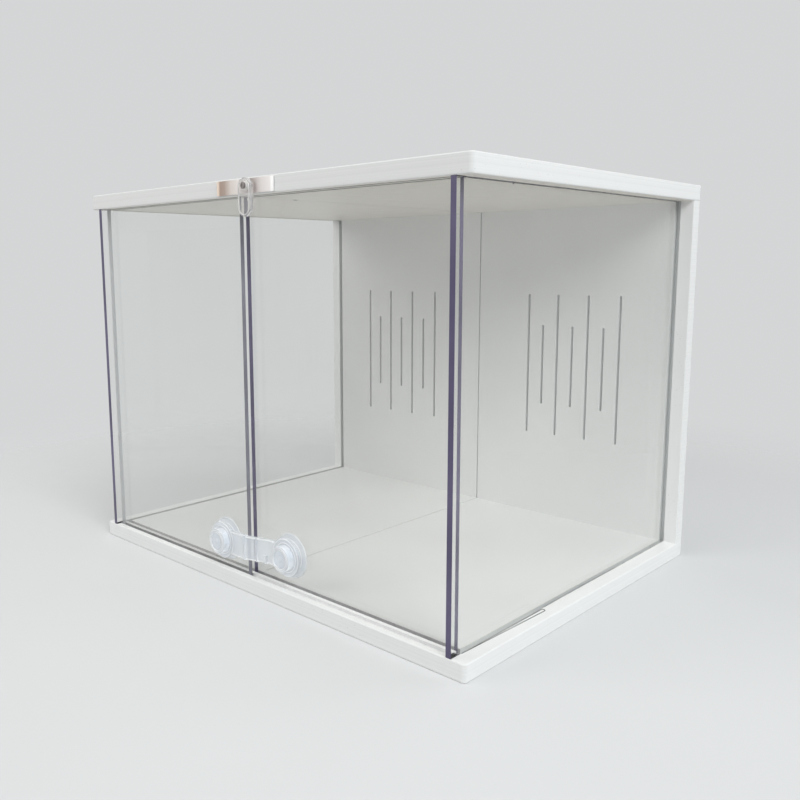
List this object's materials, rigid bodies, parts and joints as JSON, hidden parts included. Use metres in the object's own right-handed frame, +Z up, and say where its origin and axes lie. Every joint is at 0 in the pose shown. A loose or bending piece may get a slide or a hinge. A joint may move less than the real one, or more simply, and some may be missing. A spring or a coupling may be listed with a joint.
{
  "type": "reptile enclosure",
  "caption": "Glazed reptile enclosure: white floor, ceiling and vented back, clear end panes, two sliding clear doors, a turn button and a clear suction lock across the doors.",
  "frame": {"origin": "middle of the base board's underside, which is the face that it stands on", "axes": "+X from the left end to the right end seen from the front, +Y from the doors to the back panel, +Z up"},
  "size_m": [0.6, 0.4615, 0.45],
  "materials": {
    "white_board": "satin white foam board",
    "clear_pane": "clear polished sheet",
    "clear_latch": "clear polished sheet",
    "clear_lock": "clear moulded, glossy",
    "latch_plate_metal": "satin, warm tint",
    "latch_tape": "clear tape",
    "washer_plastic": "natural nylon",
    "screw_steel": "zinc plated",
    "cap_plastic": "satin",
    "dowel_wood": "plain beech"
  },
  "bodies": {
    "cabinet": {"base_board": "white_board", "top_board": "white_board", "back_panel": "white_board", "left_side_pane": "clear_pane", "right_side_pane": "clear_pane", "base_screws": "screw_steel", "top_screws": "screw_steel", "top_screw_caps": "cap_plastic", "base_dowels": "dowel_wood", "top_dowels": "dowel_wood", "latch_plate_tape": "latch_tape", "latch_plate": "latch_plate_metal", "latch_washer": "washer_plastic", "latch_screw": "screw_steel"},
    "left_door": {"left_door": "clear_pane"},
    "right_door": {"right_door": "clear_pane"},
    "turn_button": {"latch_button": "clear_latch"},
    "lock": {"lock_left_cup": "clear_lock", "lock_left_knob": "clear_lock", "lock_strap_left": "clear_lock"},
    "lock_flap": {"lock_right_cup": "clear_lock", "lock_right_knob": "clear_lock", "lock_strap_right": "clear_lock"}
  },
  "joints": [
    {"name": "left_door_slide", "type": "slide", "parent": "cabinet", "child": "left_door", "axis": [1, 0, 0], "range_m": [0, 0.194]},
    {"name": "right_door_slide", "type": "slide", "parent": "cabinet", "child": "right_door", "axis": [-1, 0, 0], "range_m": [0, 0.27]},
    {"name": "turn_button_pivot", "type": "hinge", "parent": "cabinet", "child": "turn_button", "pos_m": [0.02, -0.2296, 0.4412], "axis": [0, -1, 0], "continuous": true},
    {"name": "lock_pull_off", "type": "slide", "parent": "left_door", "child": "lock", "axis": [0, -1, 0], "range_m": [0, 0.04]},
    {"name": "lock_fold", "type": "hinge", "parent": "lock", "child": "lock_flap", "pos_m": [0.001, -0.2266, 0.053], "axis": [0, 0, -1], "range_deg": [0, 90]}
  ]
}
